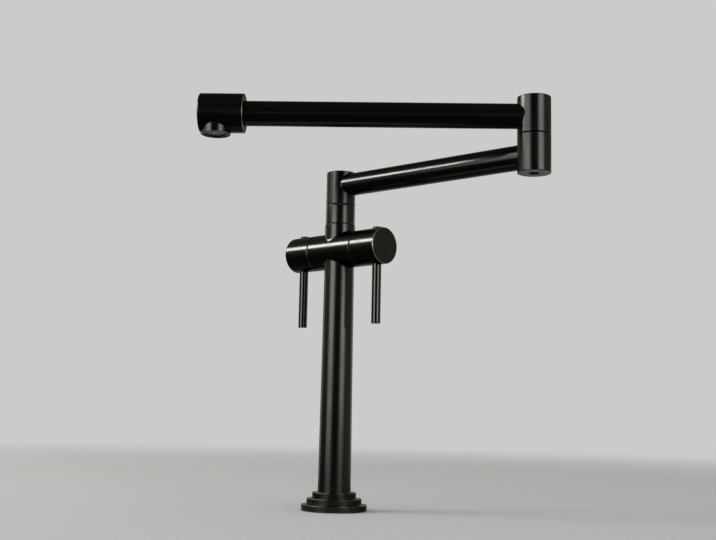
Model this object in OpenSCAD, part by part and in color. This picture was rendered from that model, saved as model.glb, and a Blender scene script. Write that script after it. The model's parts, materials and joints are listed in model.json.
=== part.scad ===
// Deck-mounted folding kitchen faucet with two jointed arms and two quarter-turn levers.
// Origin: centre of the tap hole at the deck surface. +Z is up, +X runs along the valve barrel,
// and -Y faces the user. Millimetres.

/* [Base and deck] */
// Diameter of the flange's lowest step
flange_d = 62.8; // [58:0.2:70]
// Diameter of the flange's middle step
flange_mid_d = 52.6; // [48:0.2:56]
// Diameter of the flange's top step
flange_top_d = 42; // [38:0.2:46]
// Height of each of the three steps
flange_step_h = 5.7; // [5:0.1:8]
// Thickness of the rubber gasket under the flange
gasket_h = 2.2; // [1.5:0.1:3.5]
// How far the gasket stands out below the flange
gasket_proud = 0.3; // [0.1:0.1:0.8]
// Width of the gasket's ring
gasket_w = 9; // [6:0.5:11]
// Outside diameter of the threaded shank
shank_d = 28; // [27:0.2:28.6]
// Bore of the threaded shank
shank_bore_d = 23.2; // [22.8:0.1:23.6]
// Length of the shank below the deck surface
shank_below = 60; // [50:1:90]
// Length of the shank that screws into the column
shank_grip = 26; // [15:1:40]
// Diameter of the shank's plain tail, below its thread
shank_tail_d = 26.2; // [25.8:0.1:26.8]
// Length of the shank's plain tail
shank_tail_l = 16; // [5:1:16]
// Thickness of the deck that the faucet is drawn clamped to
deck_t = 20; // [2:0.5:30]
// Diameter of the rubber seal under the deck
seal_d = 46; // [40:1:50]
// Thickness of the rubber seal
seal_t = 3; // [2:0.5:4]
// Diameter of the steel clamp washer
washer_d = 52; // [46:1:60]
// Thickness of the clamp washer
washer_t = 2; // [1.5:0.1:3]
// Width across the flats of the lock nut
nut_af = 38; // [36:0.5:42]
// Height of the lock nut
nut_h = 9; // [7:0.5:12]

/* [Column and water ways] */
// Height of the valve barrel's axis above the deck
barrel_z = 251.2; // [180:0.2:320]
// Column diameter at its foot
column_base_d = 31.8; // [31:0.1:34]
// Column diameter where it meets the valve barrel
column_top_d = 28.8; // [28:0.1:30]
// Bore of the column tube
column_bore_d = 25.2; // [24.4:0.1:25.6]
// Length of the barrel's spigot inside the column
spigot_l = 14; // [8:1:25]
// Distance from the column's axis to each riser
riser_x = 5.6; // [5.4:0.05:5.8]
// Outside diameter of the riser tubes
riser_d = 7; // [6.4:0.1:7.6]
// Bore of the riser tubes and of the water ways they feed
riser_bore_d = 5.2; // [4:0.1:5.6]
// Tapping bore of the hose ports
port_d = 9; // [8:0.1:9.4]
// Depth of the hose ports
port_depth = 12; // [8:0.5:16]
// Height of the inlet block
inlet_block_h = 20; // [18:0.5:30]

/* [Valve barrel] */
// Diameter of the barrel and of the two drums
barrel_d = 35.2; // [34:0.1:40]
// Length of the barrel between the drums
barrel_l = 56.4; // [54:0.2:64]
// Diameter of the neck on the barrel
neck_d = 29.8; // [28.6:0.1:31]
// Height of the neck above the barrel's top
neck_h = 7.8; // [5:0.1:14]
// Rounding of the barrel's and the drums' edges
barrel_edge = 0.8; // [0.3:0.1:1.5]

/* [Handles] */
// Length of each drum
drum_l = 30.9; // [30:0.1:38]
// Gap between the drum and the barrel
drum_gap = 0.8; // [0.4:0.1:1.5]
// Diameter of the lever rods
lever_d = 8.7; // [7:0.1:9.4]
// Length of a lever rod below the barrel's axis
lever_reach = 74; // [60:1:110]
// How far a lever rod stands out of the drum's top
lever_proud = 1.2; // [0.4:0.1:3]
// Distance from the drum's outer face to the lever's axis
lever_inset = 10; // [8:0.1:10.4]
// Diameter of the handle grub screws
grub_d = 5; // [4:0.5:6]
// Length of the handle grub screws
grub_l = 8; // [6:0.5:9]

/* [Ceramic valves] */
// Thread diameter of the cartridge body
cartridge_d = 20.8; // [20:0.1:21.4]
// Width across the flats of the cartridge's hexagon
cartridge_af = 21; // [20:0.5:23]
// Diameter of the turning stem
stem_d = 8; // [7:0.1:8.4]
// Diameter of the ceramic discs
ceramic_d = 13.8; // [13:0.1:14.4]
// Thickness of each ceramic disc
ceramic_t = 2.4; // [2:0.1:2.8]
// Angle of each of the two ports in a disc
port_angle = 76; // [60:1:84]

/* [Swivel and elbow] */
// Diameter of the hub and of the collar under it
hub_d = 28.6; // [28.2:0.1:31]
// Height of the hub
hub_h = 32.6; // [32:0.2:40]
// Height of the swivel collar
collar_h = 18.3; // [16:0.1:24]
// Gap between the neck and the collar
collar_gap = 0.5; // [0.3:0.1:1]
// Thickness of the wear ring under the hub
hub_ring_t = 1.2; // [0.8:0.1:2]
// Height of the lower arm's axis above the hub's foot
hub_arm_rise = 19.6; // [18:0.1:20]
// Diameter of the elbow's two housings
elbow_d = 29.2; // [28.6:0.1:32]
// Height of each elbow housing
elbow_h = 33.3; // [32:0.1:38]
// Thickness of the wear ring between the elbow's housings
elbow_ring_t = 0.5; // [0.3:0.1:1.2]
// Height of the lower arm's axis above the elbow's foot
elbow_arm_rise = 15.75; // [15.5:0.05:17]
// Height of the upper arm's axis above the upper housing's foot
upper_arm_rise = 16.35; // [15:0.05:18]
// Diameter of the swivel spindle in the neck
spindle_d = 16; // [15:0.1:16.4]
// Diameter of the elbow spindle
elbow_spindle_d = 15; // [14.6:0.1:15.4]
// Section diameter of the spindles' o-rings
o_ring_t = 1.6; // [1.4:0.05:1.8]
// Diameter of the screw pocket under the elbow
pocket_d = 9.5; // [9:0.1:11]
// Depth of the screw pocket
pocket_depth = 5; // [4.6:0.1:5.4]
// Thread diameter of the elbow's retaining screw
screw_d = 4.9; // [4:0.1:5]

/* [Arms] */
// Outside diameter of the arm tubes
arm_d = 22; // [21:0.1:22.4]
// Wall of the arm tubes
arm_wall = 1.2; // [0.8:0.1:2]
// Lower arm, from the column's axis to the elbow's axis
lower_arm_l = 221.2; // [160:0.2:260]
// Upper arm, from the elbow's axis to the outlet's axis
upper_arm_l = 277.2; // [160:0.2:320]
// Where the lower arm points at rest, from +X towards +Y
lower_arm_turn = 3; // [-90:0.5:90]
// Where the upper arm points at rest, from +X towards +Y
upper_arm_turn = 221.3; // [130:0.1:230]

/* [Spout head] */
// Diameter of the spout head
head_d = 34.6; // [33:0.2:38]
// Length of the head beyond the outlet's axis
head_nose = 14.6; // [14:0.1:18]
// Length of the head from the outlet's axis back over the arm
head_tail = 25; // [24:0.1:32]
// Rounding of the head's nose
head_edge = 1.6; // [0.5:0.1:3]
// Diameter of the outlet boss
boss_d = 26.2; // [25.8:0.1:27.6]
// How far the boss stands out below the head
boss_proud = 1.9; // [1:0.1:5]
// Outside diameter of the aerator's thread
aerator_d = 22.8; // [22.4:0.1:23.2]
// Height of the aerator's housing
aerator_h = 7.7; // [7:0.1:8]
// How far the aerator sits inside the boss
aerator_recess = 0.6; // [0.2:0.1:1]
// Number of ribs in the aerator's grid
grid_ribs = 12; // [8:1:16]

/* [Fits] */
// Radial play of a part that turns in its seat
running_play = 0.05; // [0.03:0.01:0.08]
// Radial play of a part that is screwed or pressed into its seat
seat_play = 0.02; // [0.01:0.01:0.05]
// Gap between two faces that slide on each other
face_play = 0.1; // [0.05:0.05:0.2]
// Rounding of small outside edges
small_edge = 0.5; // [0.2:0.1:0.7]

/* [Hidden] */
$fn = 96;

black_metal = "#22211f";
raw_brass = "#c8a45a";
copper_tube = "#b87350";
steel = "#b9bcbf";
rubber = "#17171a";
black_plastic = "#1d1d1e";
grey_plastic = "#8d8f90";
ceramic = "#f2ede2";

// How far a cutter runs past the face that it opens
past = 1;
// Rounding of an edge that meets another piece
seam_edge = 0.1;

// Base and column
flange_z0 = gasket_proud;
flange_ledge_z = flange_z0 + 2 * flange_step_h;
flange_top_z = flange_z0 + 3 * flange_step_h;
flange_foot_edge = 0.2;
gasket_inset = 2.6;
gasket_out_r = flange_d / 2 - gasket_inset;
gasket_in_r = gasket_out_r - gasket_w;
shank_r = shank_d / 2;
shank_slip = 0.3;
shank_hole_r = shank_r + shank_slip;
shank_tail_r = shank_tail_d / 2;
shank_lead = 1;
shank_z0 = -shank_below;
shank_z1 = flange_ledge_z + shank_grip;
seal_z0 = -deck_t - seal_t;
washer_z0 = seal_z0 - washer_t;
nut_z0 = washer_z0 - nut_h;
barrel_r = barrel_d / 2;
column_top_r = column_top_d / 2;
column_base_r = column_base_d / 2;
column_bore_r = column_bore_d / 2;
riser_r = riser_d / 2;
water_way_r = riser_bore_d / 2;
riser_foot_grip = 8;
riser_head_grip = 4;
riser_z0 = shank_z0 + inlet_block_h - riser_foot_grip;
riser_z1 = barrel_z - barrel_r + riser_head_grip;

// Valve barrel: places along the barrel are measured from its middle
barrel_x = barrel_l / 2;
barrel_top_z = barrel_z + barrel_r;
neck_z = barrel_top_z + neck_h;
cartridge_r = cartridge_d / 2;
cartridge_thread_l = 9.2;
thread_x = barrel_x - cartridge_thread_l;
chamber_r = 8.9;
sleeve_r = 7.9;
seat_x = 9.5;
seat_port_r = 4;
seat_seal_t = 1.5;
ceramic_r = ceramic_d / 2;
ceramic_play = 0.1;
ceramic_rim = 1.4;
ceramic_hub_r = 1.6;
sleeve_bore_r = ceramic_r + ceramic_play;
fixed_disc_x = seat_x + seat_seal_t;
turning_disc_x = fixed_disc_x + ceramic_t + seat_play;
stem_x = turning_disc_x + ceramic_t;
stem_r = stem_d / 2;
stem_bar_w = 3.6;
stem_bar_h = 2;
stem_bar_sink = 0.6;
stem_flange_x = stem_x + stem_bar_h;
stem_flange_t = 1.4;
stem_flange_r = ceramic_r - 2 * ceramic_play;
sleeve_end_x = stem_flange_x + stem_flange_t + face_play;
hex_flange_w = 2;
hex_flange_r = cartridge_r + hex_flange_w;
hex_flange_t = 1.4;
hex_h = 5;
nose_step = 3;
nose_r = cartridge_r - nose_step;
nose_l = 1.6;
nose_x = barrel_x + hex_flange_t + hex_h + nose_l;
clip_t = 0.9;
clip_w = 2.3;
clip_gap = 3;
clip_groove_depth = 0.7;
clip_floor_r = stem_r - clip_groove_depth;
clip_x = nose_x + face_play;
stem_seal_x = thread_x + cartridge_thread_l / 2;

// Handles
drum_x0 = barrel_x + drum_gap;
drum_x1 = drum_x0 + drum_l;
drum_skirt_room = 1;
drum_skirt_x = clip_x + clip_t + drum_skirt_room;
drum_skirt_r = 14;
lever_x = drum_x1 - lever_inset;
lever_r = lever_d / 2;
lever_web = 1.7;
stem_end_x = lever_x - lever_r - lever_web;
grub_x = (drum_skirt_x + stem_end_x) / 2;
grub_r = grub_d / 2;
grub_flat_depth = 0.8;
grub_seat_y = stem_r - grub_flat_depth;

// First swivel
hub_r = hub_d / 2;
collar_z0 = neck_z + collar_gap;
collar_z1 = collar_z0 + collar_h;
collar_thread_r = 11;
collar_thread_h = 8;
neck_thread_z = neck_z + collar_thread_h;
spindle_r = spindle_d / 2;
spindle_bore_r = 5.5;
spindle_flange_play = 0.4;
spindle_flange_r = collar_thread_r - spindle_flange_play;
spindle_flange_z0 = neck_thread_z + face_play;
spindle_flange_t = 2.6;
collar_shelf_z = spindle_flange_z0 + spindle_flange_t + face_play;
socket_floor_z = barrel_top_z + 1.8;
spindle_foot_gap = 0.4;
spindle_z0 = socket_floor_z + spindle_foot_gap;
spindle_grip = 9;
hub_z0 = collar_z1 + hub_ring_t + face_play;
hub_z1 = hub_z0 + hub_h;
spindle_z1 = hub_z0 + spindle_grip;
lower_arm_z = hub_z0 + hub_arm_rise;
ring_inset = 2.6;
ring_pitch = 5.2;
swivel_ring_z = [spindle_z0 + ring_inset, spindle_z0 + ring_inset + ring_pitch];

// Arms and elbow
arm_r = arm_d / 2;
arm_bore_r = arm_r - arm_wall;
arm_port_r = 7;
hub_arm_sink = 0.15;
hub_arm_x = sqrt(hub_r * hub_r - arm_r * arm_r) - hub_arm_sink;
elbow_r = elbow_d / 2;
elbow_arm_sink = 0.6;
elbow_arm_x = sqrt(elbow_r * elbow_r - arm_r * arm_r) - elbow_arm_sink;
elbow_x = lower_arm_l * cos(lower_arm_turn);
elbow_y = lower_arm_l * sin(lower_arm_turn);
elbow_z0 = lower_arm_z - elbow_arm_rise;
elbow_z1 = elbow_z0 + elbow_h;
upper_z0 = elbow_z1 + elbow_ring_t + face_play;
upper_z1 = upper_z0 + elbow_h;
upper_arm_z = upper_z0 + upper_arm_rise;
elbow_spindle_r = elbow_spindle_d / 2;
elbow_spindle_bore_r = 4.6;
elbow_spindle_grip = 10.5;
ledge_t = 1.8;
ledge_z = elbow_z0 + pocket_depth;
elbow_floor_z = ledge_z + ledge_t;
elbow_spindle_z0 = elbow_floor_z + face_play;
elbow_spindle_z1 = upper_z0 + elbow_spindle_grip;
spindle_port_r = 3.2;
elbow_port_r = 4.7;
spindle_port_z0 = lower_arm_z - spindle_port_r;
spindle_bore_sink = 0.6;
spindle_bore_z0 = spindle_port_z0 - spindle_bore_sink;
low_ring_drop = 3.4;
high_ring_rise = 8.2;
high_ring_pitch = 4.5;
elbow_ring_z = [
    spindle_port_z0 - low_ring_drop,
    lower_arm_z + high_ring_rise,
    lower_arm_z + high_ring_rise + high_ring_pitch
];
screw_r = screw_d / 2;
screw_slip = 0.2;
screw_head_h = 2.6;
screw_head_play = 0.45;
screw_head_r = pocket_d / 2 - screw_head_play;
screw_washer_t = 0.9;
screw_head_z1 = ledge_z - screw_washer_t - 2 * seat_play;
screw_tip_sink = 0.4;
screw_tip_z = spindle_bore_z0 - screw_tip_sink;

// Spout head: places along the head are measured from the outlet's axis, away from the elbow
head_r = head_d / 2;
boss_r = boss_d / 2;
boss_z0 = upper_arm_z - head_r - boss_proud;
aerator_r = aerator_d / 2;
aerator_z0 = boss_z0 + aerator_recess;
aerator_z1 = aerator_z0 + aerator_h;
aerator_wall = 1.4;
aerator_lip_t = 1;
aerator_seal_t = 1.7;
aerator_floor_z = aerator_z1 + aerator_seal_t;
core_r = aerator_r - aerator_wall - seat_play;
core_z0 = aerator_z0 + aerator_lip_t;
core_wall = 1.1;
core_ring_r = 0.62 * core_r;
core_hub_r = 0.26 * core_r;
head_tube_wall = 3.1;
head_tube_x = -(aerator_r + head_tube_wall);
head_chamber_r = 7.6;

// A plain disc between two heights
module disc(r, z0, z1) {
    translate([0, 0, z0]) cylinder(r = r, h = z1 - z0);
}

// A plain ring between two heights
module ring(r_out, r_in, z0, z1) {
    difference() {
        disc(r_out, z0, z1);
        disc(r_in, z0 - past, z1 + past);
    }
}

// A turned disc with its lower and upper outside edges rounded
module turned(r, z0, z1, low, high) {
    middle = (z0 + z1) / 2;
    rotate_extrude() {
        translate([0, z0]) square([r - low, middle - z0]);
        translate([0, middle]) square([r - high, z1 - middle]);
        translate([0, z0 + low]) square([r, z1 - high - z0 - low]);
        translate([r - low, z0 + low]) circle(low);
        translate([r - high, z1 - high]) circle(high);
    }
}

// An o-ring: its section touches the groove's floor and stops just short of the bore
module o_ring(bore_r, z) {
    section_r = o_ring_t / 2;
    translate([0, 0, z]) rotate_extrude()
        translate([bore_r - running_play / 2 - section_r, 0]) circle(section_r);
}

// The groove that an o-ring lies in, 1.4 times as wide as the ring's section
module o_groove(bore_r, z) {
    floor_r = bore_r - running_play / 2 - o_ring_t - seat_play;
    half_w = 0.7 * o_ring_t;
    ring(bore_r + past, floor_r, z - half_w, z + half_w);
}

// Puts a shape that is drawn upright onto the valve barrel's axis, pointing along +X
module along_barrel() {
    translate([0, 0, barrel_z]) rotate([0, 90, 0]) children();
}

// Draws the right-hand shape for side 1 and its mirror image for side -1
module on_side(side) {
    if (side > 0) children();
    else mirror([1, 0, 0]) children();
}

// Along the lower arm, from the column's axis
module along_lower_arm() {
    rotate([0, 0, lower_arm_turn]) translate([0, 0, lower_arm_z]) rotate([0, 90, 0]) children();
}

// At the elbow's axis
module at_elbow() {
    translate([elbow_x, elbow_y, 0]) children();
}

// Along the upper arm, from the elbow's axis
module along_upper_arm() {
    at_elbow() rotate([0, 0, upper_arm_turn]) translate([0, 0, upper_arm_z])
        rotate([0, 90, 0]) children();
}

// At the outlet's axis, with local +X away from the elbow
module at_outlet() {
    at_elbow() rotate([0, 0, upper_arm_turn]) translate([upper_arm_l, 0, 0]) children();
}

// Base and deck

module base_flange() {
    foot = flange_foot_edge;
    color(black_metal) difference() {
        union() {
            turned(flange_d / 2, flange_z0, flange_z0 + flange_step_h, foot, small_edge);
            turned(flange_mid_d / 2, flange_z0 + past, flange_ledge_z, foot, small_edge);
            turned(flange_top_d / 2, flange_z0 + past, flange_top_z, foot, small_edge);
        }
        disc(shank_hole_r, -past, flange_top_z + past);
        disc(column_base_r + running_play, flange_ledge_z, flange_top_z + past);
        ring(gasket_out_r + running_play, gasket_in_r - running_play, -past, gasket_h);
    }
}

module deck_gasket() {
    color(rubber) ring(gasket_out_r, gasket_in_r, 0, gasket_h);
}

module column_tube() {
    color(black_metal) difference() {
        translate([0, 0, flange_ledge_z])
            cylinder(r1 = column_base_r, r2 = column_top_r, h = barrel_z - flange_ledge_z);
        disc(column_bore_r, flange_ledge_z - past, barrel_z + past);
        disc(shank_r + seat_play, flange_ledge_z - past, shank_z1 + face_play);
        along_barrel() cylinder(r = barrel_r + seat_play, h = 2 * barrel_d, center = true);
    }
}

module threaded_shank() {
    color(raw_brass) difference() {
        union() {
            disc(shank_r, shank_z0 + shank_tail_l, shank_z1);
            disc(shank_tail_r, shank_z0 + shank_lead, shank_z1);
            translate([0, 0, shank_z0])
                cylinder(r1 = shank_tail_r - shank_lead, r2 = shank_tail_r, h = shank_lead);
        }
        disc(shank_bore_d / 2, shank_z0 - past, shank_z1 + past);
    }
}

module deck_seal() {
    color(rubber) ring(seal_d / 2, shank_hole_r, seal_z0, -deck_t);
}

module clamp_washer() {
    color(steel) ring(washer_d / 2, shank_hole_r, washer_z0, seal_z0);
}

module lock_nut() {
    corner_r = nut_af / sqrt(3);
    bevel = corner_r - nut_af / 2;
    color(raw_brass) difference() {
        translate([0, 0, nut_z0]) cylinder(r = corner_r, h = nut_h, $fn = 6);
        disc(shank_r + seat_play, nut_z0 - past, washer_z0 + past);
        difference() {
            disc(corner_r + past, nut_z0 - past, nut_z0 + bevel / 2);
            translate([0, 0, nut_z0 - past])
                cylinder(r1 = nut_af / 2 - 2 * past, r2 = corner_r + bevel, h = 2 * past + bevel);
        }
    }
}

module inlet_block() {
    color(raw_brass) difference() {
        disc(shank_bore_d / 2 - seat_play, shank_z0, shank_z0 + inlet_block_h);
        for (x = [-riser_x, riser_x]) translate([x, 0, 0]) {
            disc(port_d / 2, shank_z0 - past, shank_z0 + port_depth);
            disc(water_way_r, shank_z0, riser_z0 + past);
            disc(riser_r + seat_play, riser_z0, shank_z0 + inlet_block_h + past);
        }
    }
}

module riser(x) {
    color(copper_tube) translate([x, 0, 0])
        ring(riser_r, water_way_r, riser_z0, riser_z1);
}

module cold_riser() riser(riser_x);

module hot_riser() riser(-riser_x);

// Valve barrel

module valve_barrel() {
    socket_drill_depth = 6;
    color(black_metal) difference() {
        union() {
            along_barrel() turned(barrel_r, -barrel_x, barrel_x, barrel_edge, barrel_edge);
            turned(neck_d / 2, barrel_z, neck_z, seam_edge, small_edge);
            disc(collar_thread_r, barrel_z, neck_thread_z);
            disc(column_bore_r - seat_play, barrel_z - barrel_r - spigot_l, barrel_z);
        }
        disc(spindle_r + running_play, socket_floor_z, neck_thread_z + past);
        disc(spindle_bore_r, barrel_top_z - socket_drill_depth, socket_floor_z + past);
        for (side = [-1, 1]) on_side(side) {
            along_barrel() {
                disc(cartridge_r + seat_play, thread_x, barrel_x + past);
                disc(chamber_r, seat_x, thread_x + past);
                disc(seat_port_r, riser_x - water_way_r, seat_x + past);
            }
            translate([riser_x, 0, 0]) {
                disc(riser_r + seat_play, barrel_z - barrel_d, riser_z1);
                disc(water_way_r, riser_z1 - past, barrel_z);
            }
            outlet_drilling();
        }
    }
}

// The sloping water way from a valve chamber up to the foot of the swivel socket
module outlet_drilling() {
    inset = 5;
    sink = 3;
    head_room = 2;
    start_x = seat_x + inset;
    start_z = barrel_z + chamber_r - sink;
    rise = barrel_top_z - head_room - start_z;
    translate([start_x, 0, start_z]) rotate([0, -atan2(start_x, rise), 0])
        cylinder(r = water_way_r, h = norm([start_x, rise]));
}

// Ceramic valves, drawn for the right side

module cartridge(side) {
    corner_r = cartridge_af / sqrt(3);
    color(raw_brass) on_side(side) along_barrel() difference() {
        union() {
            disc(sleeve_r, fixed_disc_x - seat_seal_t / 2, thread_x + past);
            disc(cartridge_r, thread_x, barrel_x);
            disc(hex_flange_r, barrel_x, barrel_x + hex_flange_t);
            translate([0, 0, barrel_x + hex_flange_t])
                cylinder(r = corner_r, h = hex_h, $fn = 6);
            disc(nose_r, barrel_x, nose_x);
        }
        disc(sleeve_bore_r, seat_x - past, sleeve_end_x);
        disc(stem_r + running_play, seat_x, nose_x + past);
        for (turn = [0, 90]) rotate([0, 0, turn])
            translate([-chamber_r, -stem_bar_w / 2, stem_x])
                cube([2 * chamber_r, stem_bar_w, stem_bar_h]);
    }
}

module seat_seal(side) {
    seal_lip = 0.6;
    color(rubber) on_side(side) along_barrel()
        ring(ceramic_r, seat_port_r + seal_lip, seat_x, fixed_disc_x);
}

// One of the two ports of a ceramic disc, as a flat sector
module port_sector() {
    side_x = ceramic_d * cos(port_angle / 2);
    side_y = ceramic_d * sin(port_angle / 2);
    difference() {
        intersection() {
            circle(ceramic_r - ceramic_rim);
            polygon([[0, 0], [side_x, -side_y], [side_x, side_y]]);
        }
        circle(ceramic_hub_r);
    }
}

module ceramic_disc(x, turn) {
    along_barrel() difference() {
        disc(ceramic_r, x, x + ceramic_t);
        for (half = [0, 180]) rotate([0, 0, turn + half])
            translate([0, 0, x - past]) linear_extrude(ceramic_t + 2 * past) port_sector();
    }
}

module fixed_disc(side) {
    color(ceramic) on_side(side) ceramic_disc(fixed_disc_x, 0);
}

module turning_disc(side) {
    color(ceramic) on_side(side) difference() {
        ceramic_disc(turning_disc_x, 90);
        along_barrel() translate([-ceramic_d, -stem_bar_w / 2, stem_x - stem_bar_sink])
            cube([2 * ceramic_d, stem_bar_w, ceramic_t]);
    }
}

module stem(side) {
    bar_w = stem_bar_w - ceramic_play;
    bar_x = stem_x - stem_bar_sink;
    flat_room = 0.5;
    color(raw_brass) on_side(side) along_barrel() difference() {
        union() {
            intersection() {
                disc(stem_flange_r, bar_x, stem_flange_x + past);
                translate([-ceramic_d, -bar_w / 2, bar_x])
                    cube([2 * ceramic_d, bar_w, stem_bar_h + stem_bar_sink]);
            }
            disc(stem_flange_r, stem_flange_x, stem_flange_x + stem_flange_t);
            disc(stem_r, stem_flange_x, stem_end_x);
        }
        o_groove(stem_r, stem_seal_x);
        ring(stem_r + past, clip_floor_r, clip_x, clip_x + clip_t);
        // The flat that the grub screw bears on
        translate([-stem_d, grub_seat_y, grub_x - grub_r - flat_room])
            cube([2 * stem_d, stem_d, stem_end_x]);
    }
}

module stem_seal(side) {
    color(rubber) on_side(side) along_barrel() o_ring(stem_r, stem_seal_x);
}

// A circlip: a flat ring with a gap that lets it snap into the stem's groove
module stem_clip(side) {
    clip_r = clip_floor_r + seat_play;
    color(steel) on_side(side) along_barrel() difference() {
        ring(clip_r + clip_w, clip_r, clip_x + seat_play, clip_x + clip_t - seat_play);
        translate([0, -clip_gap / 2, nose_x]) cube([2 * stem_d, clip_gap, 2 * clip_t]);
    }
}

// Handles, drawn for the right side

module drum(side) {
    color(black_metal) on_side(side) difference() {
        along_barrel() turned(barrel_r, drum_x0, drum_x1, barrel_edge, barrel_edge);
        along_barrel() {
            disc(drum_skirt_r, drum_x0 - past, drum_skirt_x);
            disc(stem_r + seat_play, drum_skirt_x - past, stem_end_x + face_play);
        }
        translate([lever_x, 0, barrel_z - barrel_r - past])
            cylinder(r = lever_r + seat_play, h = barrel_d + 2 * past);
        translate([grub_x, 0, barrel_z]) rotate([-90, 0, 0])
            cylinder(r = grub_r + seat_play, h = barrel_r + past);
    }
}

module lever(side) {
    color(black_metal) on_side(side) translate([lever_x, 0, barrel_z])
        turned(lever_r, -lever_reach, barrel_r + lever_proud, small_edge, small_edge);
}

module grub_screw(side) {
    socket_af = grub_d / 2;
    grub_y1 = grub_seat_y + grub_l;
    color(steel) on_side(side) translate([grub_x, 0, barrel_z]) rotate([-90, 0, 0])
        difference() {
            disc(grub_r, grub_seat_y, grub_y1);
            translate([0, 0, grub_y1 - socket_af])
                cylinder(r = socket_af / sqrt(3), h = grub_l, $fn = 6);
        }
}

// First swivel

module swivel_collar() {
    color(black_metal) difference() {
        turned(hub_r, collar_z0, collar_z1, small_edge, small_edge);
        disc(collar_thread_r + seat_play, collar_z0 - past, collar_shelf_z);
        disc(spindle_r + running_play, collar_shelf_z - past, collar_z1 + past);
    }
}

module hub_wear_ring() {
    color(black_plastic)
        ring(hub_r - small_edge, spindle_r + 2 * face_play, collar_z1, collar_z1 + hub_ring_t);
}

module swivel_spindle() {
    color(raw_brass) difference() {
        union() {
            disc(spindle_r, spindle_z0, spindle_z1);
            disc(spindle_flange_r, spindle_flange_z0, spindle_flange_z0 + spindle_flange_t);
        }
        disc(spindle_bore_r, spindle_z0 - past, spindle_z1 + past);
        for (z = swivel_ring_z) o_groove(spindle_r, z);
    }
}

module swivel_o_rings() {
    color(rubber) for (z = swivel_ring_z) o_ring(spindle_r, z);
}

module lower_hub() {
    color(black_metal) difference() {
        turned(hub_r, hub_z0, hub_z1, small_edge, small_edge);
        disc(spindle_r + seat_play, hub_z0 - past, spindle_z1);
        disc(spindle_bore_r, spindle_z1 - past, lower_arm_z);
        along_lower_arm() {
            disc(arm_r + seat_play, hub_arm_x - face_play, hub_d);
            disc(arm_port_r, 0, hub_arm_x);
        }
    }
}

// Lower arm and elbow

module lower_arm_tube() {
    color(black_metal) along_lower_arm()
        ring(arm_r, arm_bore_r, hub_arm_x, lower_arm_l - elbow_arm_x);
}

module elbow_lower_housing() {
    color(black_metal) difference() {
        at_elbow() turned(elbow_r, elbow_z0, elbow_z1, small_edge, small_edge);
        at_elbow() {
            disc(elbow_spindle_r + running_play, elbow_floor_z, elbow_z1 + past);
            disc(screw_r + screw_slip, elbow_z0 - past, elbow_floor_z + past);
            disc(pocket_d / 2, elbow_z0 - past, ledge_z);
        }
        along_lower_arm() {
            disc(arm_r + seat_play, lower_arm_l - elbow_d, lower_arm_l - elbow_arm_x + face_play);
            disc(elbow_port_r, lower_arm_l - elbow_d, lower_arm_l);
        }
    }
}

module elbow_wear_ring() {
    color(black_plastic) at_elbow()
        ring(elbow_r - 2 * small_edge, elbow_spindle_r + 2 * face_play,
            elbow_z1, elbow_z1 + elbow_ring_t);
}

module elbow_spindle() {
    color(raw_brass) at_elbow() difference() {
        disc(elbow_spindle_r, elbow_spindle_z0, elbow_spindle_z1);
        disc(elbow_spindle_bore_r, spindle_bore_z0, elbow_spindle_z1 + past);
        disc(screw_r + seat_play, elbow_spindle_z0 - past, spindle_bore_z0 + past);
        translate([0, 0, lower_arm_z]) for (turn = [0, 90]) rotate([0, 90, turn])
            cylinder(r = spindle_port_r, h = elbow_d, center = true);
        for (z = elbow_ring_z) o_groove(elbow_spindle_r, z);
    }
}

module elbow_o_rings() {
    color(rubber) at_elbow() for (z = elbow_ring_z) o_ring(elbow_spindle_r, z);
}

module elbow_washer() {
    color(steel) at_elbow()
        ring(screw_head_r, screw_r + screw_slip / 2, screw_head_z1 + seat_play,
            ledge_z - seat_play);
}

module elbow_screw() {
    head_z0 = screw_head_z1 - screw_head_h;
    socket_af = 3;
    socket_depth = 1.6;
    color(steel) at_elbow() difference() {
        union() {
            turned(screw_head_r, head_z0, screw_head_z1, small_edge, seam_edge);
            disc(screw_r, head_z0 + past, screw_tip_z);
        }
        translate([0, 0, head_z0 - past])
            cylinder(r = socket_af / sqrt(3), h = socket_depth + past, $fn = 6);
    }
}

module elbow_upper_housing() {
    color(black_metal) difference() {
        at_elbow() turned(elbow_r, upper_z0, upper_z1, small_edge, small_edge);
        at_elbow() {
            disc(elbow_spindle_r + seat_play, upper_z0 - past, elbow_spindle_z1 + face_play);
            disc(elbow_spindle_bore_r, elbow_spindle_z1, upper_arm_z);
        }
        along_upper_arm() {
            disc(arm_r + seat_play, elbow_arm_x - face_play, elbow_d);
            disc(arm_port_r, 0, elbow_arm_x);
        }
    }
}

// Upper arm and spout head

module upper_arm_tube() {
    color(black_metal) along_upper_arm()
        ring(arm_r, arm_bore_r, elbow_arm_x, upper_arm_l + head_tube_x);
}

module spout_head() {
    tail_lip = 0.8;
    color(black_metal) difference() {
        union() {
            along_upper_arm() turned(head_r, upper_arm_l - head_tail, upper_arm_l + head_nose,
                tail_lip, head_edge);
            at_outlet() turned(boss_r, boss_z0, upper_arm_z, small_edge, seam_edge);
        }
        along_upper_arm() {
            disc(arm_r + seat_play, upper_arm_l - 2 * head_tail,
                upper_arm_l + head_tube_x + face_play);
            disc(head_chamber_r, upper_arm_l + head_tube_x, upper_arm_l + head_chamber_r);
        }
        at_outlet() {
            disc(aerator_r + seat_play, boss_z0 - past, aerator_floor_z);
            disc(head_chamber_r, aerator_floor_z - past, upper_arm_z);
        }
    }
}

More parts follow.
